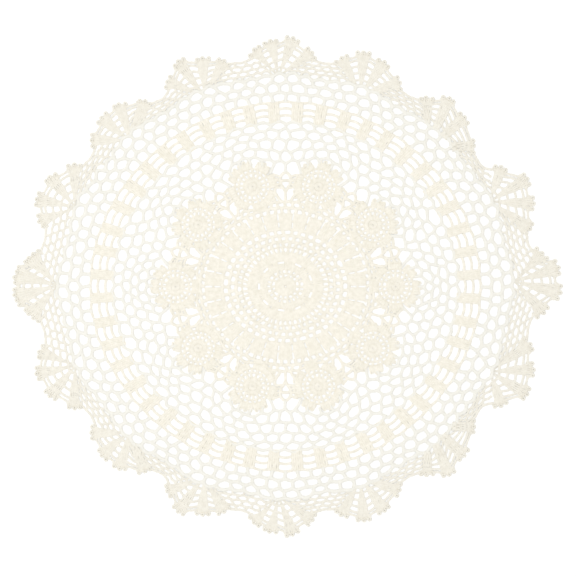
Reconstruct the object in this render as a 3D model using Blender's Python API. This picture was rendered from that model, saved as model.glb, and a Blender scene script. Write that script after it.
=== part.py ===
"""Crochet tablecloth: one flat, oval, openwork sheet of cream cotton yarn.

The cloth is worked in the round, from the middle out: a close medallion, ten rosettes, an inner
net, a round of treble blocks with ladders between them, an outer net, and sixteen fans whose
picots make the scalloped edge. It is all one piece of crochet, so it is one flat solid: the
outline of the fans and picots, with the largest gaps of each round cut through. The two nets
are cut at twice their real mesh, and the finest gaps stay closed.

Metres, +Z up. The sheet lies on the XY plane, its length along X. The origin is the middle of
the underside of its outline.
"""

import math
from collections import namedtuple

import bpy
import numpy as np

MM = 0.001

# Driving dimensions of the whole sheet
THICKNESS = 2.0 * MM
SQUASH = 0.905  # each round lies this much narrower along Y than along X
PATTERN_MIDDLE_X = -2.9 * MM  # the rounds' common centre, from the middle of the outline

# Edges of the rounds, as radii along the length; wide_radius is the real radius along the width
Round = namedtuple("Round", "long_radius wide_radius")
LACE_START = Round(57.0 * MM, 52.0 * MM)
LACE_END = Round(71.0 * MM, 65.0 * MM)
NECK_START = Round(111.0 * MM, 103.0 * MM)
NECK_END = Round(141.0 * MM, 131.0 * MM)
DIP_START = Round(145.0 * MM, 135.0 * MM)
INNER_NET_START = Round(163.0 * MM, 155.0 * MM)
INNER_NET_END = Round(207.0 * MM, 196.5 * MM)
BLOCKS_START = Round(208.0 * MM, 198.0 * MM)
BLOCKS_END = Round(235.0 * MM, 221.0 * MM)
OUTER_NET_END = Round(271.0 * MM, 254.5 * MM)

# Gaps of the rounds: how many to a round, and the solid left between neighbours
ROSETTES = 10
BLOCKS = 48
INNER_MESHES = 36
NET_BAR = 4.8 * MM
OPEN_BAR = 4.0 * MM
NET_PEAK = 0.12  # the meshes of a net reach this share of their height into the next row
LADDER_WIDTH = 11.0 * MM
DIP_WIDTH = 26.0 * MM
NECK_WIDTH = 18.0 * MM
LACE_WIDTH = 9.0 * MM

# The fans of one half of the edge, in order; those between the two ends are mirrored
Fan = namedtuple("Fan", "angle_deg base_radius reach lean_deg")
FANS = (
    Fan(0.0, 277.0 * MM, 54.0 * MM, 0.0),
    Fan(25.0, 276.0 * MM, 47.0 * MM, -11.0),
    Fan(49.0, 272.0 * MM, 43.0 * MM, -3.0),
    Fan(70.8, 277.0 * MM, 45.5 * MM, -3.0),
    Fan(91.4, 281.0 * MM, 45.0 * MM, -3.0),
    Fan(111.2, 278.0 * MM, 43.5 * MM, -2.0),
    Fan(133.6, 273.0 * MM, 43.0 * MM, -3.0),
    Fan(156.7, 276.0 * MM, 46.5 * MM, -2.0),
    Fan(180.0, 276.0 * MM, 49.0 * MM, 0.0),
)
SHELL_ANGLES_DEG = (-51.0, -17.0, 17.0, 51.0)
COLUMN_ANGLES_DEG = (-34.0, 0.0, 34.0)
FAN_GAP_REACH = 28.0 * MM
FAN_GAP_ALONG = 7.0 * MM
FAN_GAP_ACROSS = 6.2 * MM

# The free edge of a shell, with its three picots: across the shell, and out from its reach
EdgePoint = namedtuple("EdgePoint", "across out")
SHELL_EDGE = (
    EdgePoint(-8.8 * MM, -7.5 * MM),
    EdgePoint(-6.2 * MM, 0.0),
    EdgePoint(-3.1 * MM, -2.6 * MM),
    EdgePoint(0.0, 0.6 * MM),
    EdgePoint(3.1 * MM, -2.6 * MM),
    EdgePoint(6.2 * MM, 0.0),
    EdgePoint(8.8 * MM, -7.5 * MM),
)

# Gap shapes in half widths and half heights, the second value growing towards the edge
HEXAGON = ((-1.0, -0.55), (0.0, -1.0), (1.0, -0.55), (1.0, 0.55), (0.0, 1.0), (-1.0, 0.55))
OBLONG = ((-1.0, -1.0), (1.0, -1.0), (1.0, 1.0), (-1.0, 1.0))
KITE = ((-0.35, -1.0), (0.35, -1.0), (1.0, 0.25), (0.5, 1.0), (-0.5, 1.0), (-1.0, 0.25))
EIGHTH = 2.0 * math.pi / 8.0
ROUNDEL = tuple((math.cos(EIGHTH * k), math.sin(EIGHTH * k)) for k in range(8))

CREAM = (0.88, 0.83, 0.70, 1.0)
PATH_SAMPLES = 2881
NEARBY = 0.002  # radians either side, for the direction of a round's edge


def clear_scene():
    for old in list(bpy.data.objects):
        bpy.data.objects.remove(old, do_unlink=True)


def between(inner, outer, share):
    """The round that lies this share of the way from one round to another."""
    return Round(
        inner.long_radius + (outer.long_radius - inner.long_radius) * share,
        inner.wide_radius + (outer.wide_radius - inner.wide_radius) * share,
    )


def radius_at(angle, rim):
    """Radius before the squash: it goes from the long to the wide value as sin(angle) ** 4."""
    rise = rim.wide_radius / SQUASH - rim.long_radius
    return rim.long_radius + rise * np.sin(angle) ** 4


def place(radius, angle):
    """Points on the sheet, squashed along Y and set on the rounds' common centre."""
    x = PATTERN_MIDDLE_X + radius * np.cos(angle)
    y = SQUASH * radius * np.sin(angle)
    return np.stack([x, y], axis=-1)


def even_angles(steps, count, rim):
    """Angles of evenly spaced stitches along a round, and the distance between them."""
    dense = np.linspace(0.0, 2.0 * math.pi, PATH_SAMPLES)
    path = place(radius_at(dense, rim), dense)
    pieces = np.linalg.norm(np.diff(path, axis=0), axis=1)
    along = np.concatenate([[0.0], np.cumsum(pieces)])
    turns, part = np.divmod(steps / count, 1.0)
    angles = np.interp(part * along[-1], along, dense) + turns * 2.0 * math.pi
    return angles, along[-1] / count


def gap_ring(count, phase, inner, outer, shape, bar, peak=0.0, width=None):
    """Evenly spaced gaps between two rounds, one row of points each.

    A gap is its pitch less the bar, or the given width. Its height is the distance between the
    rounds, plus its peaks, less the bar.
    """
    middle = between(inner, outer, 0.5)
    centres = np.arange(count) + phase
    pitch = even_angles(centres, count, middle)[1]
    half_width = (width or pitch - bar) / 2.0
    corners = np.array(shape)
    steps = centres[:, None] + corners[:, 0] * half_width / pitch
    angles = even_angles(steps, count, middle)[0]
    low = radius_at(angles, inner)
    high = radius_at(angles, outer)
    half_height = (high - low) / 2.0 * (1.0 + peak) - bar / 2.0
    return place((low + high) / 2.0 + corners[:, 1] * half_height, angles)


def net_rows(count, first_phase, inner, outer):
    """Two staggered rows of net meshes."""
    middle = between(inner, outer, 0.5)
    return [
        *gap_ring(count, first_phase, inner, middle, HEXAGON, NET_BAR, NET_PEAK),
        *gap_ring(count, first_phase + 0.5, middle, outer, HEXAGON, NET_BAR, NET_PEAK),
    ]


def fan_axes(fan):
    """Base point, outward direction and sideways direction of a fan."""
    angle = math.radians(fan.angle_deg)
    nearby = np.array([angle - NEARBY, angle + NEARBY])
    before, after = place(radius_at(nearby, OUTER_NET_END), nearby)
    ahead = (after - before) / np.linalg.norm(after - before)
    lean = math.radians(fan.lean_deg)
    square = np.array([ahead[1], -ahead[0]])
    out = square * math.cos(lean) + ahead * math.sin(lean)
    side = ahead * math.cos(lean) - square * math.sin(lean)
    return place(fan.base_radius, angle), out, side


def fan_points(axes, turn, distance):
    """Points of a fan by their turn from its middle line and their distance from its base."""
    base, out, side = axes
    return (
        base
        + np.multiply.outer(distance * np.cos(turn), out)
        + np.multiply.outer(distance * np.sin(turn), side)
    )


def fan_edge(fan):
    """The free edge of a fan: its four shells, one after the other."""
    across = np.array([point.across for point in SHELL_EDGE])
    out = np.array([point.out for point in SHELL_EDGE])
    shells = np.radians(SHELL_ANGLES_DEG)[:, None]
    turns = (shells + across / fan.reach).ravel()
    distances = np.tile(fan.reach + out, len(SHELL_ANGLES_DEG))
    return fan_points(fan_axes(fan), turns, distances)


def fan_gaps(fan):
    """The widest gap of each of the fan's three columns of gaps."""
    corners = np.array(OBLONG)
    distance = FAN_GAP_REACH + corners[:, 1] * FAN_GAP_ALONG / 2.0
    turn = corners[:, 0] * FAN_GAP_ACROSS / 2.0 / FAN_GAP_REACH
    axes = fan_axes(fan)
    return [fan_points(axes, math.radians(column) + turn, distance) for column in COLUMN_ANGLES_DEG]


def mirrored(points):
    """The same points on the other side of the X axis, still counter-clockwise."""
    return points[::-1] * (1.0, -1.0)


def sheet_outline():
    upper = [fan_edge(fan) for fan in FANS]
    lower = [mirrored(edge) for edge in upper[-2:0:-1]]
    return np.concatenate(upper + lower)


def sheet_gaps():
    gaps = list(gap_ring(ROSETTES, 0.0, LACE_START, LACE_END, ROUNDEL, OPEN_BAR, width=LACE_WIDTH))
    gaps += list(gap_ring(ROSETTES, 0.5, NECK_START, NECK_END, KITE, OPEN_BAR, width=NECK_WIDTH))
    gaps += list(gap_ring(ROSETTES, 0.5, DIP_START, INNER_NET_START, HEXAGON, OPEN_BAR, width=DIP_WIDTH))
    gaps += net_rows(INNER_MESHES, 0.5, INNER_NET_START, INNER_NET_END)
    gaps += list(gap_ring(BLOCKS, 0.0, BLOCKS_START, BLOCKS_END, OBLONG, NET_BAR, width=LADDER_WIDTH))
    gaps += net_rows(BLOCKS, 0.0, BLOCKS_END, OUTER_NET_END)
    upper = [gap for fan in FANS for gap in fan_gaps(fan)]
    lower = [mirrored(gap) for fan in FANS[1:-1] for gap in fan_gaps(fan)]
    return gaps + upper + lower


def add_loop(curve, points):
    """One closed loop of straight runs."""
    spline = curve.splines.new("POLY")
    spline.points.add(len(points) - 1)
    padding = np.tile([0.0, 1.0], (len(points), 1))
    spline.points.foreach_set("co", np.hstack([points, padding]).ravel())
    spline.use_cyclic_u = True


def cotton_yarn():
    material = bpy.data.materials.new("cream_cotton_yarn")
    material.use_nodes = True
    shader = material.node_tree.nodes["Principled BSDF"]
    shader.inputs["Base Color"].default_value = CREAM
    shader.inputs["Roughness"].default_value = 0.9
    shader.inputs["Metallic"].default_value = 0.0
    return material


def make_cloth(collection):
    """The outline and the gaps as one flat curve, filled between them and given its thickness."""
    curve = bpy.data.curves.new("crochet_cloth", "CURVE")
    curve.dimensions = "2D"
    curve.fill_mode = "BOTH"
    curve.extrude = THICKNESS / 2.0
    add_loop(curve, sheet_outline())
    for gap in sheet_gaps():
        add_loop(curve, gap)
    cloth = bpy.data.objects.new("crochet_cloth", curve)
    cloth.location.z = THICKNESS / 2.0
    cloth.data.materials.append(cotton_yarn())
    collection.objects.link(cloth)


clear_scene()
tablecloth = bpy.data.collections.new("crochet_tablecloth")
bpy.context.scene.collection.children.link(tablecloth)
make_cloth(tablecloth)
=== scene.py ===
"""Oval crochet tablecloth in cream cotton, spread flat and seen from straight above.

The file follows the cloth as it is worked, from the middle out. Lengths are in millimetres, and a
mesh turns them into metres. Angles are in radians, and a step is one stitch or mesh of a round.
"""

import math
from collections import namedtuple

import bpy
import numpy as np
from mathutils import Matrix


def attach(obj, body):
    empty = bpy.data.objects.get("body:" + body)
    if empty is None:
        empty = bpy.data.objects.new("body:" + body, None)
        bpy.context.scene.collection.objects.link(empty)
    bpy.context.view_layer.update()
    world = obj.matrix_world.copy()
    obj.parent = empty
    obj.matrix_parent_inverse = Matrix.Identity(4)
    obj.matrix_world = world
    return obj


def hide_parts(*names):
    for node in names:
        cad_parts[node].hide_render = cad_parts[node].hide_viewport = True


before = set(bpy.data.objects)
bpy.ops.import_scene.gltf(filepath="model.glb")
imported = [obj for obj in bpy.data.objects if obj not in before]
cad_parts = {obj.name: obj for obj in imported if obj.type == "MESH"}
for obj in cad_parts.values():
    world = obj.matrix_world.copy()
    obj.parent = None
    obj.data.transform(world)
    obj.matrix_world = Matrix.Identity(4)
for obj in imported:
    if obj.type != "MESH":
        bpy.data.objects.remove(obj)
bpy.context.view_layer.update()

# Table top, light and camera
# A plain pale table top under a broad even light, so that a thin white openwork cloth shows by
# its own cream colour and by the soft shade between its stitches.

MM = 0.001
TABLE_HALF = 2500.0
TABLE_COLOUR = "#FDFDFC"


def linear(hex_colour):
    """sRGB hex to linear light: the standard curve, value by value."""
    parts = np.array([int(hex_colour[i:i + 2], 16) for i in (1, 3, 5)]) / 255.0
    curve = np.where(parts <= 0.04045, parts / 12.92, ((parts + 0.055) / 1.055) ** 2.4)
    return (*curve, 1.0)


def add_node(tree, kind, links=(), **settings):
    """Adds a node, sets its properties or inputs by name, and links (input, from node, output)."""
    node = tree.nodes.new(kind)
    for name, value in settings.items():
        if hasattr(node, name):
            setattr(node, name, value)
        else:
            node.inputs[name.replace("_", " ")].default_value = value
    for socket, source, output in links:
        tree.links.new(source.outputs[output], node.inputs[socket])
    return node


def painted_board():
    """Matt white painted board: an even, very pale surface with no gloss."""
    material = bpy.data.materials.new("painted_board")
    material.use_nodes = True
    shader = material.node_tree.nodes["Principled BSDF"]
    shader.inputs["Base Color"].default_value = linear(TABLE_COLOUR)
    shader.inputs["Roughness"].default_value = 0.9
    shader.inputs["Specular IOR Level"].default_value = 0.0
    return material


half = TABLE_HALF * MM
table_corners = [(-half, -half, 0.0), (half, -half, 0.0), (half, half, 0.0), (-half, half, 0.0)]
table = bpy.data.meshes.new("table_top")
table.from_pydata(table_corners, [], [(0, 1, 2, 3)])
table.materials.append(painted_board())
table_top = bpy.data.objects.new("table_top", table)
bpy.context.scene.collection.objects.link(table_top)

# The light, in metres, degrees and watts, and the strength of the white sky around it
LIGHT_SIZE = 1.3
LIGHT_PLACE = (-0.6, 0.12, 2.2)
LIGHT_TURN = (-3.1, -15.3, 0.0)
LIGHT_POWER = 13.0
SKY_STRENGTH = 0.93

sky = bpy.data.worlds.new("studio")
sky.use_nodes = True
sky.node_tree.nodes["Background"].inputs["Color"].default_value = (1.0, 1.0, 1.0, 1.0)
sky.node_tree.nodes["Background"].inputs["Strength"].default_value = SKY_STRENGTH
bpy.context.scene.world = sky

lamp = bpy.data.lights.new("softbox", "AREA")
lamp.shape = "RECTANGLE"
lamp.size = LIGHT_SIZE
lamp.size_y = LIGHT_SIZE
lamp.energy = LIGHT_POWER
softbox = bpy.data.objects.new("softbox", lamp)
softbox.location = LIGHT_PLACE
softbox.rotation_euler = [math.radians(turn) for turn in LIGHT_TURN]
bpy.context.scene.collection.objects.link(softbox)

# The camera looks straight down. Its picture shows 1.2 mm to a pixel, so it is 691 mm across
PIXEL = 1.2
PICTURE_PIXELS = 576
CAMERA_HEIGHT = 2400.0
SENSOR_WIDTH = 36.0
CAMERA_X = 0.1
CAMERA_Y = -1.8
FAR_CLIP = 50.0  # metres

eye = bpy.data.cameras.new("camera")
eye.sensor_width = SENSOR_WIDTH
eye.lens = SENSOR_WIDTH * CAMERA_HEIGHT / (PICTURE_PIXELS * PIXEL)
eye.clip_end = FAR_CLIP
camera = bpy.data.objects.new("camera", eye)
camera.location = (CAMERA_X * MM, CAMERA_Y * MM, CAMERA_HEIGHT * MM)
bpy.context.scene.collection.objects.link(camera)
bpy.context.scene.camera = camera
bpy.context.scene.view_settings.view_transform = "Standard"

# Middle medallion
# Close rounds of upright stitches worked out from a small ring, three rounds of small lace meshes,
# and two rounds of thirty narrow blocks. Mercerised cotton crochet yarn, one unbroken strand.

# The cloth is squashed along its width, about the pattern's middle. A round has its half length
# and half width, and is sampled every eighth of a degree.
SQUASH = 0.905
MIDDLE = np.array([-2.9, 0.0])
PATH_SAMPLES = 2881
Round = namedtuple("Round", "long wide")

# The yarn: a stitch of chain, the pitch of its ply, and half the width of chain in the nets
CHAIN_STITCH = 2.4
PLY_PITCH = 1.2
CHAIN_HALF = 1.62
POST_LAP = 0.5  # uprights reach this far over the rounds that they stand between
RUN_LAP = 0.06  # runs of chain reach this share of their step over the next
RING_CORNERS = 6
CHAIN_SWELL = 0.14  # how far a chain swells and narrows, as a share of its size
POST_SWELL = 0.1
PRESSED = 0.36  # height of a strand as a share of its width, where it is pressed flat
ROUNDED = 0.42  # the same in the nets
AXIS_HEIGHT = 1.3  # in halves of a strand's height: its thickest places just clear the table

# Thickness along a strand: an arch where others catch it, an upright of the net, a close stitch
EVEN = (1.0, 1.0)
CAUGHT = (1.3, 0.98, 0.98, 1.25, 0.98, 0.98, 1.3)
STANDING = (1.25, 0.96, 0.96, 1.25)
CLOSE = (1.06, 0.94, 0.95, 1.0, 1.08)

# The cotton: its two creams in close work, a painted lit and a painted shaded one, painted deeper
# than the nets' creams for the shade among dense stitches; the length of the painted mottle of
# shade between them; and how many plies cross a stitch, and how deep
CLOSE_PAINTED_TONES = ("#F9F5EB", "#E0DBCB")
SHADE_MOTTLE = 4.0
PLIES = 2
PLY_DEPTH = 0.12
Bundle = namedtuple("Bundle", "corners quads ends quad_uv end_uv covered")


def circle(radius):
    """A round of the medallion: as long as its radius, and squashed along the width."""
    return Round(radius, SQUASH * radius)


def between(inner, outer, share):
    """The round that lies this share of the way from one round to another."""
    return Round(
        inner.long + (outer.long - inner.long) * share,
        inner.wide + (outer.wide - inner.wide) * share,
    )


def radius_at(angle, rim):
    """Radius before the squash: from the long to the wide value as sin(angle) to the fourth."""
    return rim.long + (rim.wide / SQUASH - rim.long) * np.sin(angle) ** 4


def on_cloth(radius, angle):
    """Plan points from radius and angle: a circle squashed along Y, about the pattern's middle."""
    x = MIDDLE[0] + radius * np.cos(angle)
    y = MIDDLE[1] + SQUASH * radius * np.sin(angle)
    return np.stack(np.broadcast_arrays(x, y), axis=-1)


def around(rim):
    """Angles once around a round, and the length along it up to each of them."""
    dense = np.linspace(0.0, 2.0 * math.pi, PATH_SAMPLES)
    path = on_cloth(radius_at(dense, rim), dense)
    along = np.concatenate([[0.0], np.cumsum(np.linalg.norm(np.diff(path, axis=0), axis=1))])
    return dense, along


def even_angles(steps, count, rim):
    """Angles of evenly spaced steps along a round: its length, read backwards."""
    dense, along = around(rim)
    turns, part = np.divmod(np.asarray(steps, float) / count, 1.0)
    return np.interp(part * along[-1], along, dense) + turns * 2.0 * math.pi


def through(points, rings):
    """Smooth curve through each strand's points (strands, points, axes), at even places.

    Each span is a cubic, whose slope at a point is half the way from the point before to the next.
    """
    first = 2.0 * points[:, :1] - points[:, 1:2]
    last = 2.0 * points[:, -1:] - points[:, -2:-1]
    padded = np.concatenate([first, points, last], axis=1)
    place = np.linspace(0.0, points.shape[1] - 1.0, rings)
    start = np.minimum(place.astype(int), points.shape[1] - 2)
    t = (place - start)[None, :, None]
    a, b, c, d = (padded[:, start + k] for k in range(4))
    bend = (2 * a - 5 * b + 4 * c - d) * t**2 + (3 * b - a - 3 * c + d) * t**3
    return 0.5 * (2 * b + (c - a) * t + bend)


def tubes(points, half_width, flatness, rings, stitched, thickness):
    """Yarn tubes along strands: a six-sided oval ring, square to the path at even places.

    A stitched tube is a chain: each ring swells and narrows once a stitch, its sides half a stitch
    after its top. Any other tube is an upright stitch, whose two lobes turn with the ply. The half
    width is one number, or one for each strand. Each corner's place along the yarn is counted in
    chain stitches, and its place around it from 0 to 1.
    """
    path = through(np.asarray(points, float), rings)
    half_width = np.broadcast_to(half_width, len(path))[:, None, None]
    half_height = flatness * half_width
    middle_height = np.broadcast_to(AXIS_HEIGHT * half_height, path.shape[:2] + (1,))
    path = np.concatenate([path, middle_height], axis=2)
    ahead = np.gradient(path, axis=1)
    ahead /= np.linalg.norm(ahead, axis=2, keepdims=True) + 1e-9
    side = np.stack([ahead[..., 1], -ahead[..., 0], np.zeros(path.shape[:2])], axis=2)
    step = np.linalg.norm(np.diff(path, axis=1), axis=2)
    length = np.concatenate([np.zeros((len(path), 1)), np.cumsum(step, axis=1)], axis=1)
    turn = 2.0 * math.pi * np.arange(RING_CORNERS) / RING_CORNERS
    stitch = (length / CHAIN_STITCH)[:, :, None]
    if stitched:
        swell = CHAIN_SWELL * np.cos(2.0 * math.pi * (stitch + 0.5 * np.abs(np.cos(turn))))
    else:
        swell = POST_SWELL * np.cos(2.0 * turn - math.pi * length[:, :, None] / PLY_PITCH)
    known = np.linspace(0.0, 1.0, len(thickness))
    profile = np.interp(np.linspace(0.0, 1.0, rings), known, thickness)
    size = (1.0 + swell) * profile[:, None]
    across = (np.cos(turn) * half_width * size)[..., None] * side[:, :, None]
    over = (np.sin(turn) * half_height * size)[..., None] * np.array([0.0, 0.0, 1.0])
    corners = path[:, :, None] + across + over
    index = np.arange(corners.size // 3).reshape(corners.shape[:3])
    low, high = index[:, :-1], index[:, 1:]
    quads = np.stack([low, high, np.roll(high, -1, axis=2), np.roll(low, -1, axis=2)], axis=-1)
    ends = np.concatenate([index[:, 0], index[:, -1, ::-1]])
    here = np.broadcast_to(stitch[:, :-1], low.shape)
    there = np.broadcast_to(stitch[:, 1:], low.shape)
    before = np.broadcast_to(np.arange(RING_CORNERS) / RING_CORNERS, low.shape)
    after = before + 1.0 / RING_CORNERS
    quad_u = np.stack([here, there, there, here], axis=-1)
    quad_v = np.stack([before, before, after, after], axis=-1)
    quad_uv = np.stack([quad_u, quad_v], axis=-1)
    covered = 2.0 * (half_width[:, 0, 0] * length[:, -1]).sum()
    return Bundle(
        corners.reshape(-1, 3), quads.reshape(-1, 4), ends, quad_uv.reshape(-1, 2),
        np.zeros((ends.size, 2)), covered,
    )


def crocheted(name, bundles, material):
    """One piece of the cloth from its bundles of tubes: corners, faces and yarn places, joined.

    The edges along a tube's two sides are sharp, so that its top is shaded as the low oval that it
    is: they join the first corners of its rings, or the fourth ones.
    """
    offsets = np.cumsum([0] + [len(bundle.corners) for bundle in bundles])
    corners = np.concatenate([bundle.corners for bundle in bundles]) * MM
    loops = [(bundle.quads + start).ravel() for bundle, start in zip(bundles, offsets)]
    loops += [(bundle.ends + start).ravel() for bundle, start in zip(bundles, offsets)]
    sizes = [np.full(len(bundle.quads), 4) for bundle in bundles]
    sizes += [np.full(len(bundle.ends), RING_CORNERS) for bundle in bundles]
    places = [bundle.quad_uv for bundle in bundles] + [bundle.end_uv for bundle in bundles]
    loops, sizes, places = np.concatenate(loops), np.concatenate(sizes), np.concatenate(places)
    mesh = bpy.data.meshes.new(name)
    mesh.vertices.add(len(corners))
    mesh.vertices.foreach_set("co", corners.ravel().astype(np.float32))
    mesh.loops.add(len(loops))
    mesh.loops.foreach_set("vertex_index", loops.astype(np.int32))
    mesh.polygons.add(len(sizes))
    mesh.polygons.foreach_set("loop_start", (np.cumsum(sizes) - sizes).astype(np.int32))
    mesh.polygons.foreach_set("use_smooth", sizes == 4)
    layer = mesh.uv_layers.new(name="along_yarn")
    layer.data.foreach_set("uv", places.ravel().astype(np.float32))
    mesh.update(calc_edges=True)
    edge_ends = np.empty(2 * len(mesh.edges), np.int32)
    mesh.edges.foreach_get("vertices", edge_ends)
    first, second = (edge_ends.reshape(-1, 2) % RING_CORNERS).T
    sides = (first == second) & (first % (RING_CORNERS // 2) == 0)
    mesh.edges.foreach_set("use_edge_sharp", sides)
    mesh.materials.append(material)
    piece = bpy.data.objects.new(name, mesh)
    bpy.context.scene.collection.objects.link(piece)
    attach(piece, "root")
    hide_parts("crochet_cloth")
    return piece


def crochet_cotton(name, colours):
    """Mercerised crochet cotton, plied and worked: cream, nearly matt, with a fine slanting ply.

    The same yarn is painted in lit and shaded copies: deeper in close work, for the shade among
    its dense stitches, paler and greyer in the nets' single chains, for the grey shade at their
    sides, and deeper at the hem, for the shade of its curled, bunched edge. Each has a painted lit
    and a painted shaded cream. The bump is a sine around and along the yarn, two plies to a
    stitch, and the tone is a noise between the two colours, a painted mottle of the shade of the
    stitches' relief.
    """
    material = bpy.data.materials.new(name)
    material.use_nodes = True
    tree = material.node_tree
    shader = tree.nodes["Principled BSDF"]
    place = add_node(tree, "ShaderNodeUVMap", uv_map="along_yarn")
    parts = add_node(tree, "ShaderNodeSeparateXYZ", links=[("Vector", place, "UV")])
    slant = add_node(tree, "ShaderNodeMath", [(0, parts, "X"), (1, parts, "Y")], operation="ADD")
    turns = add_node(tree, "ShaderNodeMath", [(0, slant, "Value")], operation="MULTIPLY")
    turns.inputs[1].default_value = 2.0 * math.pi * PLIES
    ply = add_node(tree, "ShaderNodeMath", [(0, turns, "Value")], operation="SINE")
    where = add_node(tree, "ShaderNodeTexCoord")
    size = 1.0 / (SHADE_MOTTLE * MM)
    # Painted shade: a noise mottles the tone between the lit and the shaded cream, for the
    # stitches' relief
    shade_mottle = add_node(
        tree, "ShaderNodeTexNoise", [("Vector", where, "Object")], Scale=size, Detail=2.0
    )
    tone = add_node(tree, "ShaderNodeMix", [("Factor", shade_mottle, "Fac")], data_type="RGBA")
    tone.inputs[6].default_value = linear(colours[0])
    tone.inputs[7].default_value = linear(colours[1])
    tree.links.new(tone.outputs[2], shader.inputs["Base Color"])
    bump = add_node(
        tree, "ShaderNodeBump", [("Height", ply, "Value")], Strength=0.35, Distance=PLY_DEPTH * MM
    )
    tree.links.new(bump.outputs["Normal"], shader.inputs["Normal"])
    shader.inputs["Roughness"].default_value = 0.85
    shader.inputs["Specular IOR Level"].default_value = 0.2
    shader.inputs["Sheen Weight"].default_value = 0.08
    shader.inputs["Sheen Roughness"].default_value = 0.6
    return material


# Close work: the same cotton painted deeper, for the shade among its dense stitches
close_cotton_painted_shade = crochet_cotton("crochet_cotton_close_painted_shade", CLOSE_PAINTED_TONES)


def chain(points, stitches, half=CHAIN_HALF, thickness=EVEN, flatness=ROUNDED):
    """A run of chain stitches along each strand, two rings to a stitch."""
    return tubes(points, half, flatness, max(3, int(round(stitches * 2.0)) + 1), True, thickness)


def post(points, half, rings, thickness=CLOSE, flatness=PRESSED):
    """An upright stitch along each strand: slimmer in its middle than at its head and foot."""
    return tubes(points, half, flatness, rings, False, thickness)


def ring_chain(rim, count, stitches, half, start=-RUN_LAP, end=1.0 + RUN_LAP):
    """A round of flat chain in count short runs, each over this part of its step of the round."""
    angle = even_angles(np.arange(count)[:, None] + np.linspace(start, end, 5), count, rim)
    return chain(on_cloth(radius_at(angle, rim), angle), stitches, half, flatness=PRESSED)


def ring_posts(rng, steps, count, inner, outer, half, rings=5, wander=0.1, flatness=PRESSED):
    """Upright stitches from one round to the next at given steps, each a little off its place.

    They reach a little over both rounds, so that they close up with the stitches there.
    """
    share = np.array([0.0, 0.5, 1.0])
    steps = np.asarray(steps, float)[:, None] + rng.normal(0.0, wander, (len(steps), 3))
    angle = even_angles(steps, count, outer)
    low, high = radius_at(angle, inner) - POST_LAP, radius_at(angle, outer) + POST_LAP
    return post(on_cloth(low + (high - low) * share, angle), half, rings, flatness=flatness)


def grouped(groups, size, fill):
    """Steps of stitches in groups: size of them side by side, over a share of a group's step."""
    return (np.arange(groups)[:, None] + ((np.arange(size) + 0.5) / size - 0.5) * fill).ravel()


def arches(foot, top, dome=0.12):
    """Strands over each mesh, from a foot over the top to the next foot.

    The two shoulders lie halfway, and dome lifts them by this share of the arch's height.
    """
    after = np.roll(foot, -1, axis=0)
    outward = (top - (foot + after) / 2.0) * dome
    shoulders = [(end + top) / 2.0 + outward for end in (foot, after)]
    return np.stack([foot, shoulders[0], top, shoulders[1], after], axis=1)


def uprights(rng, start, foot, bend=0.4):
    """Strands from the round below to each foot, a little bent."""
    middle = (start + foot) / 2.0 + rng.normal(0.0, bend, start.shape)
    return np.stack([start, middle, foot], axis=1)


def lace_round(rng, count, phase, inner, outer, half, stitches, keep_off=None):
    """A round of small meshes: an upright at each step, and an arch from each to the next."""
    steps = np.arange(count) + phase + rng.normal(0.0, LACE_LOOSE, (3, count))
    start_angle = even_angles(steps[0], count, inner)
    foot_angle = even_angles(steps[1], count, outer)
    top_angle = even_angles(steps[2] + 0.5, count, outer)
    start = on_cloth(radius_at(start_angle, inner), start_angle)
    foot = on_cloth(radius_at(foot_angle, outer) - LACE_RISE / 2.0, foot_angle)
    top = on_cloth(radius_at(top_angle, outer) + LACE_RISE / 2.0, top_angle)
    if keep_off is not None:
        start, foot, top = keep_off(start), keep_off(foot), keep_off(top)
    legs = post(uprights(rng, start, foot, 0.15), half, 4, STANDING)
    return [chain(arches(foot, top), stitches, half, CAUGHT, PRESSED), legs]


SOLID_BANDS = (
    # stitches, inner radius, outer radius, half width
    (22, 2.4, 11.4, 1.7),
    (14, 12.4, 16.6, 1.45),
    (21, 17.6, 22.4, 1.55),
    (57, 23.1, 29.3, 1.75),
    (96, 34.4, 45.0, 1.7),
    (50, 45.0, 51.8, 1.55),
)
CLOSED_ROUNDS = (
    # runs of chain, radius, half width
    (4, 1.9, 0.9),
    (14, 11.9, 1.0),
    (14, 17.1, 1.0),
    (21, 22.8, 1.0),
    (30, 29.4, 1.0),
    (35, 34.4, 1.0),
    (36, 52.0, 0.9),
)
# The round of nine groups of stitches, with a slit between each two
OPEN_ROUNDS = (circle(29.7), circle(34.2))
OPEN_GROUPS = 9
OPEN_STITCHES = 6
OPEN_FILL = 0.62
OPEN_HALF = 1.3
LACE_MESHES = 45
LACE_ROUNDS = (circle(52.4), circle(59.2), circle(67.4), circle(75.8))
LACE_HALVES = (1.9, 1.8, 1.75)
LACE_RISE = 1.4  # the tops of the arches stand this far out from their feet
LACE_LOOSE = 0.09  # how far its stitches stray, as a share of a step
# The narrow blocks, the fine chain under them and the bars that join them halfway up
WEDGES = 30
WEDGE_STITCHES = (6, 7)
WEDGE_FILL = 0.85
WEDGE_HALF = 1.5
WEDGE_ROUNDS = (circle(76.0), circle(86.4), circle(96.5))
WEDGE_BAR = 0.18

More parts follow.
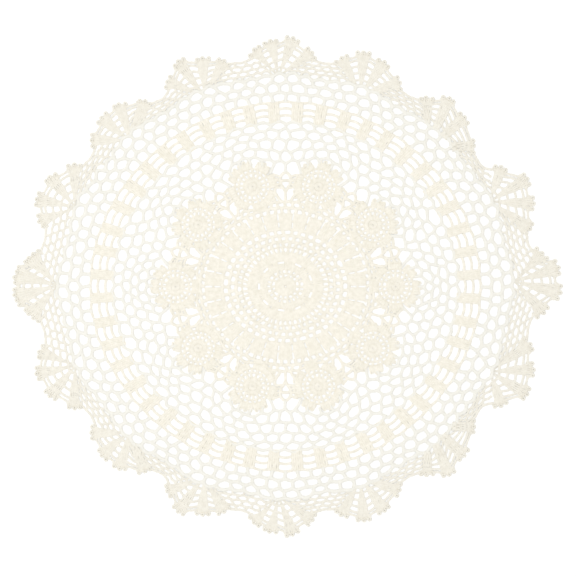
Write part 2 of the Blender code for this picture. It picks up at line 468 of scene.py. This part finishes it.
rng = np.random.default_rng(11)
medallion = []
for count, inner, outer, half in SOLID_BANDS:
    medallion.append(ring_posts(rng, np.arange(count), count, circle(inner), circle(outer), half))
for count, radius, half in CLOSED_ROUNDS:
    medallion.append(ring_chain(circle(radius), count, 2.6, half))
places = grouped(OPEN_GROUPS, OPEN_STITCHES, OPEN_FILL)
medallion.append(ring_posts(rng, places, OPEN_GROUPS, *OPEN_ROUNDS, OPEN_HALF, 4, 0.02))
for number, half in enumerate(LACE_HALVES):
    inner, outer = LACE_ROUNDS[number:number + 2]
    medallion += lace_round(rng, LACE_MESHES, 0.5 * number + 0.5, inner, outer, half, 3.6)
for stitches, inner, outer in zip(WEDGE_STITCHES, WEDGE_ROUNDS[:-1], WEDGE_ROUNDS[1:]):
    places = grouped(WEDGES, stitches, WEDGE_FILL) + 0.5
    medallion.append(ring_posts(rng, places, WEDGES, inner, outer, WEDGE_HALF, 5, 0.01))
medallion.append(ring_chain(WEDGE_ROUNDS[0], 2 * WEDGES, 3.6, 0.8))
medallion.append(ring_chain(WEDGE_ROUNDS[1], WEDGES, 2.4, 1.2, -WEDGE_BAR, WEDGE_BAR))
crocheted("middle_medallion", medallion, close_cotton_painted_shade)

# Rosettes
# Ten round flowers, each worked from its own ring: a close heart, two rounds of small meshes, and
# eight petals of five stitches with three picots each, which join them to the rounds about them.

ROSETTES = 10
ROSETTE_ROUND = Round(132.0, 126.0)
ROSETTE_RIM = 28.4
ROSETTE_ROUNDS = (
    # stitches, how far they stray, their radii at foot, middle and head, half width, rings
    (11, 0.05, (0.4, 2.8, 5.2), 1.6, 5),
    (20, 0.04, (5.6, 7.8, 9.8), 1.75, 5),
    (16, 0.08, (10.6, 13.4, 16.0), 1.35, 4),
    (20, 0.08, (16.8, 18.8, 20.8), 1.4, 4),
)
ROSETTE_CHAINS = (
    # radius of the chain over each round, its runs, stitches to a run, half width
    (5.4, 6, 2.4, 0.9),
    (10.4, 10, 3.0, 1.1),
    (16.4, 16, 2.8, 1.2),
    (21.2, 20, 2.8, 1.15),
)
# A petal: five stitches fanned by these degrees, the rim over them, and three picots on the rim
PETALS = 8
PETAL_LOOSE = 0.05
PETAL_FAN = (-14.8, -7.4, 0.0, 7.4, 14.8)
PETAL_RADII = (21.6, 24.6, 27.4)
PETAL_NARROWS = (1.0, 1.0, 0.96)  # share of its degrees that a stitch keeps, from foot to head
PETAL_HALF = 2.1
RIM_TURNS = (-19.5, -13.0, 0.0, 13.0, 19.5)
RIM_RADII = (22.6, 27.2, ROSETTE_RIM, 27.2, 22.6)
RIM_STRAY = 0.3
RIM_HALF = 1.3
PICOT_TURNS = (-12.0, 0.0, 12.0)
PICOT_REACHES = (28.8, 30.2, 28.8)
PICOT_STRAY = 0.35
PICOT_RADIUS = 1.5
PICOT_GAP = 0.15  # radians that a picot's loop leaves open at either end
PICOT_STITCHES = 3.5
PICOT_HALF = 1.1
RAISED = 0.45  # height of a strand as a share of its width, where it stands up
rosette_angles = even_angles(np.arange(ROSETTES), ROSETTES, ROSETTE_ROUND)
rosette_centres = on_cloth(radius_at(rosette_angles, ROSETTE_ROUND), rosette_angles)


def loops_at(centres, ahead, radius=PICOT_RADIUS):
    """Picot loops: one turn of yarn about each centre, starting from the side it stands on."""
    turn = np.linspace(PICOT_GAP, 2.0 * math.pi - PICOT_GAP, 7) + math.pi
    sideways = np.stack([-ahead[:, 1], ahead[:, 0]], axis=1)
    along, across = np.cos(turn)[None, :, None], np.sin(turn)[None, :, None]
    return centres[:, None] + radius * (along * ahead[:, None] + across * sideways[:, None])


def spokes(centre, turn, radii):
    """Plan points about a centre, from their turn and their radius."""
    turn, radii = np.broadcast_arrays(turn, radii)
    return centre + np.stack([radii * np.cos(turn), radii * np.sin(turn)], axis=-1)


def small_round(centre, radius, runs, stitches, half):
    """A closed round of chain about a centre, in short runs that reach over each other."""
    place = np.arange(runs)[:, None] + np.linspace(-RUN_LAP, 1.0 + RUN_LAP, 5)
    turn = place * 2.0 * math.pi / runs
    return chain(spokes(centre, turn, radius), stitches, half, flatness=PRESSED)


def rosette(centre, seed):
    """One rosette's tubes: its rounds from the heart out, then petals, rims and picots.

    Every place is a turn about the centre and a radius. The first petal faces away from the
    middle of the cloth, and each place strays a little.
    """
    rng = np.random.default_rng(seed)
    facing = math.atan2(*(centre - MIDDLE)[::-1])
    petal = facing + np.arange(PETALS) * 2.0 * math.pi / PETALS
    petal += rng.normal(0.0, PETAL_LOOSE, PETALS)
    fan = np.radians(PETAL_FAN)[:, None] * PETAL_NARROWS
    blades = (petal[:, None, None] + fan).reshape(-1, 3)
    rim = petal[:, None] + np.radians(RIM_TURNS)
    rim_radii = RIM_RADII + rng.normal(0.0, RIM_STRAY, (PETALS, 1))
    tips = (petal[:, None] + np.radians(PICOT_TURNS)).ravel()
    ahead = spokes(np.zeros(2), tips, 1.0)
    reach = np.tile(PICOT_REACHES, PETALS) + rng.normal(0.0, PICOT_STRAY, len(tips))
    picots = loops_at(centre + ahead * reach[:, None], ahead)
    made = []
    for (count, loose, radii, half, rings), cover in zip(ROSETTE_ROUNDS, ROSETTE_CHAINS):
        place = np.arange(count)[:, None] + rng.normal(0.0, loose, (count, 3))
        turn = facing + place * 2.0 * math.pi / count
        made += [post(spokes(centre, turn, radii), half, rings), small_round(centre, *cover)]
    return made + [
        post(spokes(centre, blades, PETAL_RADII), PETAL_HALF, 4),
        chain(spokes(centre, rim, rim_radii), 8.0, RIM_HALF, flatness=PRESSED),
        chain(picots, PICOT_STITCHES, PICOT_HALF, flatness=RAISED),
    ]


for number, centre in enumerate(rosette_centres):
    name = f"rosette_{number + 1:02d}"
    crocheted(name, rosette(centre, 100 + number), close_cotton_painted_shade)

# Necks between the rosettes
# Two fine lace rounds inside the rosettes, and between each two of them a neck: an upright that
# forks into a small triangle and a small square, with a long V-shaped mesh on either side.

NECK_MESHES = 70
NECK_ROUNDS = (circle(96.8), Round(102.2, 94.2), Round(107.6, 101.4))
NECK_END = Round(145.0, 137.0)
NECK_HALVES = (1.85, 1.5)
# Places in a neck: across its middle line, and the radius at the top necks, both in pixels
NECK_STEM = ((0.0, 93.0), (0.0, 99.0), (0.0, 105.0))
NECK_FORK = (
    (0.0, 104.5),
    (1.6, 108.0),
    (4.4, 112.5),
    (5.4, 117.5),
    (4.8, 121.5),
    (2.6, 124.6),
    (0.0, 126.6),
)
NECK_BAR = ((-5.4, 116.4), (0.0, 117.2), (5.4, 116.4))
NECK_WALL = ((4.4, 92.0), (6.6, 97.0), (10.4, 103.5), (12.0, 109.0))
NECK_TIES = (
    ((2.2, 108.6), (7.0, 109.6), (12.0, 109.0)),
    ((4.6, 113.0), (8.0, 112.6), (12.0, 112.0)),
    ((5.4, 117.0), (8.6, 117.4), (12.4, 117.0)),
    ((4.9, 121.0), (8.6, 122.4), (12.6, 123.4)),
)
# Millimetres of a round's half width and of its half length, for a pixel of radius
TOP_RADIUS = 1.086
LONG_RADIUS = 1.146
TIE_HOLD = 27.0  # the ties are caught this far from a rosette's centre, just inside its petals
TIE_HALF = 1.4


def off_rosettes(points, rim=ROSETTE_RIM, least=0.0):
    """The same points, those inside a rosette moved straight out to its rim.

    With least at minus infinity, points outside are moved straight in to the nearest rim too.
    """
    away = points[..., None, :] - rosette_centres
    apart = np.linalg.norm(away, axis=-1)
    nearest = apart.argmin(axis=-1)[..., None]
    near = np.take_along_axis(apart, nearest, axis=-1)
    push = np.take_along_axis(away, nearest[..., None], axis=-2)[..., 0, :] / near
    return points + push * np.maximum(rim - near, least)


def in_necks(places, side=1.0):
    """A strand in every neck, from places across its middle line and along its radius."""
    across, radius = np.array(places).T
    angle = even_angles(np.arange(ROSETTES) + 0.5, ROSETTES, ROSETTE_ROUND)[:, None]
    radius = radius_at(angle, Round(LONG_RADIUS * radius, TOP_RADIUS * radius))
    line = on_cloth(radius, angle)
    outward = on_cloth(radius + 1.0, angle) - line
    outward /= np.linalg.norm(outward, axis=2, keepdims=True)
    sideways = np.stack([-outward[..., 1], outward[..., 0]], axis=-1)
    return line + sideways * (side * PIXEL * across)[None, :, None]


rng = np.random.default_rng(31)
necks = []
for number, half in enumerate(NECK_HALVES):
    inner, outer = NECK_ROUNDS[number:number + 2]
    necks += lace_round(rng, NECK_MESHES, 0.5 * number, inner, outer, half, 3.8, off_rosettes)
necks += [post(in_necks(NECK_STEM), 1.5, 6), chain(in_necks(NECK_BAR), 5.4)]
for side in (-1.0, 1.0):
    wall = off_rosettes(in_necks(NECK_WALL, side), TIE_HOLD)
    ties = [off_rosettes(in_necks(tie, side), TIE_HOLD) for tie in NECK_TIES]
    necks += [chain(in_necks(NECK_FORK, side), 11.0), chain(wall, 8.5)]
    necks += [chain(tie, 3.6, TIE_HALF) for tie in ties]
crocheted("rosette_necks", necks, close_cotton_painted_shade)

# Inner net
# Five rounds of chain loops. Each loop is caught in the middle of the one below it, so that the
# meshes are staggered, and the net dips towards the middle between the rosettes.

# Its two creams are a painted lit and a painted shaded one
# Nets: the same cotton painted paler and greyer, for the grey shade at the sides of single chains
OPEN_PAINTED_TONES = ("#F1EFE8", "#E5E3D9")
open_cotton_painted_tone = crochet_cotton("crochet_cotton_open_painted_tone", OPEN_PAINTED_TONES)
# The rounds, each as it runs between the rosettes and as it runs outside them
Dip = namedtuple("Dip", "between rosette")
INNER_ROUNDS = (
    Dip(NECK_END, Round(158.0, 152.0)),
    Dip(Round(155.0, 148.4), Round(167.4, 160.4)),
    Dip(Round(168.0, 162.4), Round(177.0, 170.4)),
    Dip(Round(180.6, 176.0), Round(186.0, 180.0)),
    Dip(Round(192.8, 187.4), Round(195.2, 189.0)),
    Dip(Round(206.4, 196.8), Round(206.4, 196.8)),
)
# The net's step at each neck, counted from the right end of the cloth's long middle line
NECK_STEPS = (-4, 4, 11, 18, 25, 32, 40, 47, 54, 61, 68, 76)
INNER_MESHES = 72
INNER_RISE = 3.4
INNER_LOOSE = 0.085
INNER_STITCHES = (6.5, 3.4)  # chain stitches in an arch and in an upright
NET_STRAY = 0.7  # how far a place of either net strays in or out
PETAL_HOLD = 25.5  # the net is worked into the petals this far from a rosette's centre


def inner_angles(steps):
    """Angles of the net's steps: even from neck to neck, where the step counts are given."""
    neck = np.interp(steps, NECK_STEPS, np.arange(-0.5, ROSETTES + 1.0))
    return even_angles(neck, ROSETTES, ROSETTE_ROUND), neck


def inner_places(steps, dip, lift):
    """Plan points on a dipping round: the two radii, mixed by half a cosine from neck to neck."""
    angle, neck = inner_angles(steps)
    sway = 0.5 + 0.5 * np.cos(2.0 * math.pi * neck)
    low, high = radius_at(angle, dip.between), radius_at(angle, dip.rosette)
    return on_cloth(low + (high - low) * sway + lift, angle)


rng = np.random.default_rng(41)
steps = np.arange(INNER_MESHES)
inner_net = []
starts = inner_places(steps, INNER_ROUNDS[0], 0.0)
on_rims = np.isin(steps, NECK_STEPS, invert=True)
starts[on_rims] = off_rosettes(starts[on_rims], PETAL_HOLD, -math.inf)
for number, dip in enumerate(INNER_ROUNDS[1:]):
    phase = 0.5 * (number % 2)
    loose = rng.normal(0.0, INNER_LOOSE, (2, INNER_MESHES))
    lift = rng.normal(0.0, NET_STRAY, (2, INNER_MESHES))
    foot = inner_places(steps + phase + loose[0], dip, lift[0] - INNER_RISE / 2.0)
    top = inner_places(steps + phase + 0.5 + loose[1], dip, lift[1] + INNER_RISE / 2.0)
    legs = chain(uprights(rng, starts, foot), INNER_STITCHES[1], thickness=STANDING)
    inner_net += [chain(arches(foot, top), INNER_STITCHES[0], thickness=CAUGHT), legs]
    starts = top if phase == 0.0 else np.roll(top, 1, axis=0)
crocheted("inner_net", inner_net, open_cotton_painted_tone)

# Block round
# Forty-eight blocks of upright stitches, three rounds high and five stitches wide, joined by
# three chain rungs each. It is the firm ring of the cloth.

BLOCKS = 48
BLOCK_STITCHES = 5
# Share of a block's step that its stitches stand on, at the top and at the two ends
BLOCK_FILL = (0.47, 0.41)
BLOCK_ROWS = 3
BLOCK_START = Round(206.6, 197.0)
BLOCK_END = Round(234.0, 221.0)
BLOCK_HALF = 1.5
BLOCK_LOOSE = 0.018
# The chain over each row of a block, as a share of the block's width to either side of its middle
ROW_REACH = 0.54
ROW_HALF = 1.0
ROW_STITCHES = 6.0
RUNG_HALF = 1.4
RUNG_BOW = 1.2
RUNG_STRAY = 0.35

rng = np.random.default_rng(51)
block_round = []
block_rims = [between(BLOCK_START, BLOCK_END, row / BLOCK_ROWS) for row in range(BLOCK_ROWS + 1)]
block_middles = np.arange(BLOCKS)[:, None] + 0.5 + rng.normal(0.0, BLOCK_LOOSE, (BLOCKS, 1))
topward = np.sin(even_angles(block_middles, BLOCKS, BLOCK_START)) ** 2
block_fill = BLOCK_FILL[1] + (BLOCK_FILL[0] - BLOCK_FILL[1]) * topward
places = block_middles + ((np.arange(BLOCK_STITCHES) + 0.5) / BLOCK_STITCHES - 0.5) * block_fill
for rims in zip(block_rims[:-1], block_rims[1:]):
    posts = ring_posts(rng, places.ravel(), BLOCKS, *rims, BLOCK_HALF, 6, 0.006, RAISED)
    block_round.append(posts)
for row, rim in enumerate(block_rims):
    across = np.linspace(-ROW_REACH, ROW_REACH, 5) * block_fill
    angle = even_angles(block_middles + across, BLOCKS, rim)
    block_round.append(chain(on_cloth(radius_at(angle, rim), angle), ROW_STITCHES, ROW_HALF))
    if row:
        rung = block_fill / 2.0 + (1.0 - block_fill) * np.linspace(0.0, 1.0, 5)
        angle = even_angles(block_middles + rung, BLOCKS, rim)
        bow = RUNG_BOW * (np.sin(np.linspace(0.0, math.pi, 5)) - 0.5)
        bow = bow + rng.normal(0.0, RUNG_STRAY, (BLOCKS, 1))
        rungs = on_cloth(radius_at(angle, rim) + bow, angle)
        block_round.append(chain(rungs, ROW_STITCHES, RUNG_HALF))
crocheted("block_round", block_round, close_cotton_painted_shade)

# Outer net
# Three rounds of chain loops, two to a block, the last one drawn out a little under each fan.

OUTER_MESHES = 96
OUTER_ROUNDS = (Round(234.0, 221.0), Round(246.5, 231.6), Round(258.6, 242.6), Round(270.0, 252.6))
OUTER_RISE = 3.2
OUTER_HALF = 1.9
OUTER_LOOSE = 0.07
OUTER_STITCHES = (7.5, 3.8)
FAN_DRAW = (0.0, 0.5, 1.5, 2.8)  # how far each round is drawn out under a fan
SHELL_HALF = 8.4
Fan = namedtuple("Fan", "centre shells half", defaults=(SHELL_HALF,))
# Where each fan spreads from and where its four shells stand, in pixels right of and above the
# middle of the pattern, and half a shell's width where it isn't the usual one, in millimetres.
# They are given along the upper edge, which the lower edge mirrors.
FANS = (
    Fan((229, 5), ((257, -26), (274, -6), (272, 19), (256, 33)), 9.6),
    Fan((204, 85), ((244, 58), (247, 83), (241, 107), (215, 118))),
    Fan((142, 138), ((187, 140), (178, 168), (163, 187), (141, 187))),
    Fan((75, 192), ((113, 203), (98, 223), (78, 233), (56, 227))),
    Fan((-7, 210), ((26, 233), (7, 247), (-15, 244), (-31, 235))),
    Fan((-81, 190), ((-62, 224), (-83, 227), (-107, 224), (-117, 204))),
    Fan((-156, 146), ((-141, 184), (-166, 181), (-183, 168), (-193, 146))),
    Fan((-210, 79), ((-211, 121), (-235, 109), (-248, 87), (-245, 65))),
    Fan((-228, 1), ((-254, 30), (-269, 12), (-269, -11), (-254, -29)), 12.2),
)


def mirrored(fan):
    """The fan across the cloth's long middle line, its shells in the same turning order."""
    flip = np.array([1, -1])
    return Fan(np.array(fan.centre) * flip, np.array(fan.shells)[::-1] * flip, fan.half)


edge_fans = list(FANS) + [mirrored(fan) for fan in FANS[-2:0:-1]]


def polar(points):
    """Radius before the squash and angle of plan points, the reverse of on_cloth."""
    x, y = np.moveaxis(points - MIDDLE, -1, 0)
    return np.hypot(x, y / SQUASH), np.arctan2(y / SQUASH, x)


fan_middles = MIDDLE + PIXEL * np.array([np.mean(fan.shells, axis=0) for fan in edge_fans])
fan_angles = polar(fan_middles)[1] % (2.0 * math.pi)


def under_fans(angle):
    """1 under a fan and -1 between two of them, as a cosine of the way from one to the next."""
    marks = np.concatenate([fan_angles, [2.0 * math.pi]])
    way = np.interp(np.mod(angle, 2.0 * math.pi), marks, np.arange(len(marks)))
    return np.cos(2.0 * math.pi * way)


def outer_places(steps, number, lift):
    """Plan points on a round of the outer net, drawn out under the fans."""
    angle = even_angles(steps, OUTER_MESHES, OUTER_ROUNDS[number])
    radius = radius_at(angle, OUTER_ROUNDS[number]) + FAN_DRAW[number] * under_fans(angle)
    return on_cloth(radius + lift, angle)


rng = np.random.default_rng(61)
steps = np.arange(OUTER_MESHES)
outer_net = []
starts = outer_places(steps + rng.normal(0.0, 0.05, OUTER_MESHES), 0, 0.0)
for number in range(1, len(OUTER_ROUNDS)):
    phase = 0.5 * ((number + 1) % 2)
    loose = rng.normal(0.0, OUTER_LOOSE, (2, OUTER_MESHES))
    lift = rng.normal(0.0, NET_STRAY, (2, OUTER_MESHES))
    foot = outer_places(steps + phase + loose[0], number, lift[0] - OUTER_RISE / 2.0)
    top = outer_places(steps + phase + 0.5 + loose[1], number, lift[1] + OUTER_RISE / 2.0)
    legs = chain(uprights(rng, starts, foot), OUTER_STITCHES[1], OUTER_HALF, STANDING)
    outer_net += [chain(arches(foot, top), OUTER_STITCHES[0], OUTER_HALF, CAUGHT), legs]
    starts = top if phase == 0.0 else np.roll(top, 1, axis=0)
net_edge = np.stack([foot, top], axis=1).reshape(-1, 2)
crocheted("outer_net", outer_net, open_cotton_painted_tone)

# Fans
# Sixteen fans make the scalloped edge. Each opens from the net's last round in four groups of
# upright stitches, parted by three columns of small gaps, and each group ends in a shell with
# three picots, or four where it is wide. A chain links each shell to the next.

# Hem and hollows: the same cotton painted deeper, for the shade of the curled, bunched edge
# Its two creams are a painted lit and a painted shaded one
HEM_PAINTED_TONES = ("#F3F0E6", "#DFDACD")
hem_cotton_painted_shade = crochet_cotton("crochet_cotton_hem_painted_shade", HEM_PAINTED_TONES)
# Reach is a share of a group's length. The ends of its rows, and the gap to the next group there
GROUP_ROWS = np.array([0.0, 0.17, 0.37, 0.56, 0.74, 0.92])
COLUMN_GAPS = np.array([4.6, 5.4, 6.0, 7.0, 7.8])
GROUP_STITCHES = (2, 3, 4, 5, 7)
GROUP_FILL = 0.96  # widths of the stitches side by side, as a share of the group's
STITCH_STRAY = 0.12
# Half a group's width: its least, its most as a share of half its shell, and a fan's outer edges
# as a share of the edges inside it
GROUP_LEAST = 1.4
GROUP_MOST = 0.74
OUTER_EDGES = 0.8
HEAD_STITCHES = 40.0  # stitches in the chain over a row, for each unit of reach
HEAD_HALF = 1.3
# A shell's rim, as shares of its half width and as reach past its last row, and the links
RIM_ACROSS = np.array([-1.0, -0.93, -0.5, 0.0, 0.5, 0.93, 1.0])
RIM_STEPS = np.array([-0.11, -0.02, 0.01, 0.02, 0.01, -0.02, -0.11])
RIM_STITCHES = 9.0
LINK_ROW = 0.85
LINK_ACROSS = np.array([-0.8, 0.8])
LINK_STITCHES = 4.5
LINK_HALF = 1.2
SHELL_TIP = 2.0  # the picots reach this far past the shell's place
HEM_HALF = 1.25
PICOT_STEP = 2.8  # millimetres of a shell's half width to each of its picots
# The hem's picots: their reach, less at the sides of a shell, and the reach that they point from
HEM_PICOT_SPREAD = 0.81
HEM_PICOT_REACH = 0.975
HEM_PICOT_DROP = 0.038
HEM_PICOT_SWAY = 0.006
HEM_PICOT_FROM = 0.55
HEM_PICOT_RADIUS = 1.7
HEM_PICOT_FLATNESS = 0.8
Group = namedtuple("Group", "foot along square length half")


def net_radius(angle):
    """Radius before the squash of the outer net's last round, at given angles."""
    edge_radius, edge_angle = polar(net_edge)
    return np.interp(angle, edge_angle, edge_radius, period=2.0 * math.pi)


def leaves_net(centre, tips):
    """Where straight lines from a fan's centre to its tips cross the net's last round."""
    line = centre + (tips - centre)[:, None] * np.linspace(0.0, 1.0, 241)[:, None]
    radius, angle = polar(line)
    outside = radius > net_radius(angle)
    return line[np.arange(len(tips)), outside.argmax(axis=1)]


def fan_groups(fan):
    """Foot, direction, sideways direction, length and shell half width of a fan's four groups."""
    centre = MIDDLE + PIXEL * np.array(fan.centre)
    tips = MIDDLE + PIXEL * np.array(fan.shells)
    foot = leaves_net(centre, tips)
    along = (tips - foot) / np.linalg.norm(tips - foot, axis=1, keepdims=True)
    square = np.stack([-along[:, 1], along[:, 0]], axis=1)
    return Group(foot, along, square, np.linalg.norm(tips - foot, axis=1) + SHELL_TIP, fan.half)


def in_group(group, reach, across):
    """Plan points by reach along each group and by distance sideways; groups come first."""
    reach, across = np.broadcast_arrays(reach, across)
    spare = (slice(None),) + (None,) * (reach.ndim - 1)
    forward = (reach * group.length[spare])[..., None] * group.along[spare]
    return group.foot[spare] + forward + across[..., None] * group.square[spare]


def group_sides(group):
    """Distances from each group's middle line to its two edges, at the ends of its rows.

    Two neighbours share the space between their middle lines, less the gap of the column there,
    which is narrower where the shells are wide. The two outermost edges are nearly as wide as the
    inner ones.
    """
    middles = in_group(group, GROUP_ROWS[:-1], np.zeros((4, 1)))
    gaps = COLUMN_GAPS * SHELL_HALF / group.half
    halves = (np.linalg.norm(np.diff(middles, axis=0), axis=2) - gaps) / 2.0
    halves = np.clip(halves, GROUP_LEAST, GROUP_MOST * group.half)
    clockwise = np.concatenate([OUTER_EDGES * halves[:1], halves])
    counter = np.concatenate([halves, OUTER_EDGES * halves[-1:]])
    sides = np.stack([clockwise, counter], axis=2)
    return np.concatenate([sides, np.full((4, 1, 2), group.half)], axis=1)


def over_row(values, row):
    """Each group's value at the foot, middle and head of a row: its two ends and their mean."""
    ends = values[:, row:row + 2]
    return np.stack([ends[:, 0], ends.mean(axis=1), ends[:, 1]], axis=1)


def fan_tubes(fan, seed):
    """One fan: its groups row by row, the chains over them, the shells' rims, links and picots."""
    rng = np.random.default_rng(seed)
    group = fan_groups(fan)
    sides = group_sides(group)
    offset = (sides[:, :, 1] - sides[:, :, 0]) / 2.0
    halves = sides.mean(axis=2)
    made = []
    for row, stitches in enumerate(GROUP_STITCHES):
        reach = np.interp([row, row + 0.5, row + 1.0], np.arange(6), GROUP_ROWS)
        wide = over_row(halves, row)
        places = ((np.arange(stitches) + 0.5) / stitches * 2.0 - 1.0)[:, None]
        across = over_row(offset, row)[:, None] + places * wide[:, None]
        across = across + rng.normal(0.0, STITCH_STRAY, (4, stitches, 3))
        strands = in_group(group, reach, across).reshape(-1, 3, 2)
        stitch_half = GROUP_FILL * wide.max(axis=1) / stitches
        made.append(post(strands, np.repeat(stitch_half, stitches), 4, flatness=RAISED))
        if row < len(GROUP_STITCHES) - 1:
            edges = in_group(group, reach[-1], sides[:, row + 1] * np.array([-1.0, 1.0]))
            made.append(chain(edges.reshape(1, -1, 2), HEAD_STITCHES * reach[-1], HEAD_HALF))
    rim_across = np.tile(RIM_ACROSS * fan.half, (4, 1))
    rims = in_group(group, GROUP_ROWS[-1] + RIM_STEPS, rim_across)
    made.append(chain(rims, RIM_STITCHES, HEM_HALF))
    edges = in_group(group, LINK_ROW, np.tile(LINK_ACROSS * fan.half, (4, 1)))
    links = np.stack([edges[:-1, 1], edges[1:, 0]], axis=1)
    made.append(chain(links, LINK_STITCHES, LINK_HALF))
    picots = int(round(fan.half / PICOT_STEP))
    spread = np.linspace(-HEM_PICOT_SPREAD, HEM_PICOT_SPREAD, picots)
    picot_across = spread * fan.half + rng.normal(0.0, PICOT_STRAY, (4, picots))
    picot_reach = HEM_PICOT_REACH - HEM_PICOT_DROP * spread**2
    picot_reach = picot_reach + rng.normal(0.0, HEM_PICOT_SWAY, (4, picots))
    centres = in_group(group, picot_reach, picot_across)
    ahead = centres - in_group(group, HEM_PICOT_FROM, np.zeros((4, 1)))
    ahead = (ahead / np.linalg.norm(ahead, axis=2, keepdims=True)).reshape(-1, 2)
    loops = loops_at(centres.reshape(-1, 2), ahead, HEM_PICOT_RADIUS)
    made.append(chain(loops, PICOT_STITCHES, HEM_HALF, flatness=HEM_PICOT_FLATNESS))
    return made


fans = []
for number, fan in enumerate(edge_fans):
    fans += fan_tubes(fan, 700 + number)
crocheted("edge_fans", fans, hem_cotton_painted_shade)

# Hollows between the fans
# Four or five rounds of narrow slanting meshes fill each hollow of the edge. They are chain loops
# drawn out sideways by the fans, and the last one is the free edge.

# The free edge in the middle of each hollow, and the hollow's rounds, along the cloth's upper half
HOLLOW_RADII = (296.0, 284.0, 292.0, 299.0, 301.0, 289.0, 289.0, 295.0)
HOLLOW_ROWS = (5, 4, 4, 4, 4, 4, 4, 4)
HOLLOW_HALF = 1.25
HOLLOW_MESH = 11.0
HOLLOW_RISE = 1.5
HOLLOW_LOOSE = 0.06
HOLLOW_STITCHES = (5.0, 2.5)
HOLLOW_STEPS = np.arange(-7.0, 8.0)  # meshes from a hollow's middle, more than the widest has
HOLLOW_SLANT = 0.25  # an upright starts this share of a mesh further from the middle
FREE_END = 0.3  # no upright stands nearer to a flank than this share of a mesh
LINE_PLACES = 121
# Three places across a hollow, and how much further out the free edge is at each
ACROSS_HOLLOW = np.array([0.25, 0.5, 0.75])
EDGE_RISE = np.array([1.5, 0.0, 1.5])
# Where the hollow's rounds are worked into a fan's flank, and how far inside its edge
FLANK_REACHES = (0.04, 0.17, 0.37, 0.58, 0.84)
FLANK_LAP = 1.2
hollow_edges = np.array(HOLLOW_RADII + HOLLOW_RADII[::-1])
hollow_rows = HOLLOW_ROWS + HOLLOW_ROWS[::-1]


def flank(fan, side, share):
    """Points on a fan's outer edge, from the net to its shell: side 0 is clockwise, 1 counter."""
    group = fan_groups(fan)
    reach = np.interp(share, np.linspace(0.0, 1.0, len(FLANK_REACHES)), FLANK_REACHES)
    halves = group_sides(group)[-side, :, side]
    half = np.interp(reach, GROUP_ROWS, halves) - FLANK_LAP
    return in_group(group, reach, np.tile(half * (2 * side - 1), (4, 1)))[-side][:, None]


def hollow_lines(number):
    """The lines between the rounds of one hollow, from the net to the free edge, as dense points.

    Each runs from the flank of one fan, over three places in the hollow, to the next fan's flank.
    """
    following = (number + 1) % len(edge_fans)
    share = np.linspace(0.0, 1.0, hollow_rows[number] + 1)
    left, right = flank(edge_fans[number], 1, share), flank(edge_fans[following], 0, share)
    start, end = polar(left)[1], polar(right)[1]
    end = end + 2.0 * math.pi * (end < start)
    angle = start + (end - start) * ACROSS_HOLLOW
    floor = net_radius(angle)
    edge = hollow_edges[number] + EDGE_RISE
    middle = on_cloth(floor + (edge - floor) * share[:, None], angle)
    return through(np.concatenate([left, middle, right], axis=1), LINE_PLACES)


def line_length(line):
    """Length along a line of dense points, up to each of them."""
    return np.concatenate([[0.0], np.cumsum(np.linalg.norm(np.diff(line, axis=0), axis=1))])


def read_line(line, steps):
    """Points of a line at steps, which count meshes from its middle and end at the flanks."""
    along = line_length(line)
    place = np.clip(along[-1] / 2.0 + steps * HOLLOW_MESH, 0.0, along[-1])
    return np.stack([np.interp(place, along, line[:, axis]) for axis in (0, 1)], axis=-1)


def hollow_tubes(number, seed):
    """One hollow, round by round: short uprights, and an arch from each foot to the next."""
    rng = np.random.default_rng(seed)
    lines = hollow_lines(number)
    rows = hollow_rows[number]
    made = []
    for row in range(rows):
        steps = HOLLOW_STEPS + 0.5 * (row % 2)
        loose = rng.normal(0.0, HOLLOW_LOOSE, (3, len(steps)))
        away = np.where(steps < 0.0, -HOLLOW_SLANT, HOLLOW_SLANT)
        start = read_line(lines[row], steps + away + loose[0])
        if row == 0:
            angle = polar(start)[1]
            start = on_cloth(net_radius(angle), angle)
        foot = read_line(lines[row + 1], steps + loose[1])
        across = lines[row + 1] - lines[row]
        outward = across / np.linalg.norm(across, axis=1, keepdims=True)
        drawn = lines[row + 1] + outward * HOLLOW_RISE * (row < rows - 1)
        top = read_line(drawn, steps + 0.5 + loose[2])
        reach = line_length(lines[row + 1])[-1] / HOLLOW_MESH / 2.0
        inside = np.abs(steps) < reach - FREE_END
        legs = uprights(rng, start, foot, 0.1)[inside]
        loops = arches(foot, top, 0.0)[:-1][inside[:-1] | inside[1:]]
        made.append(chain(legs, HOLLOW_STITCHES[1], HOLLOW_HALF, STANDING))
        made.append(chain(loops, HOLLOW_STITCHES[0], HOLLOW_HALF, CAUGHT))
    return made


hollows = []
for number in range(len(edge_fans)):
    hollows += hollow_tubes(number, 800 + number)
crocheted("hollow_net", hollows, hem_cotton_painted_shade)
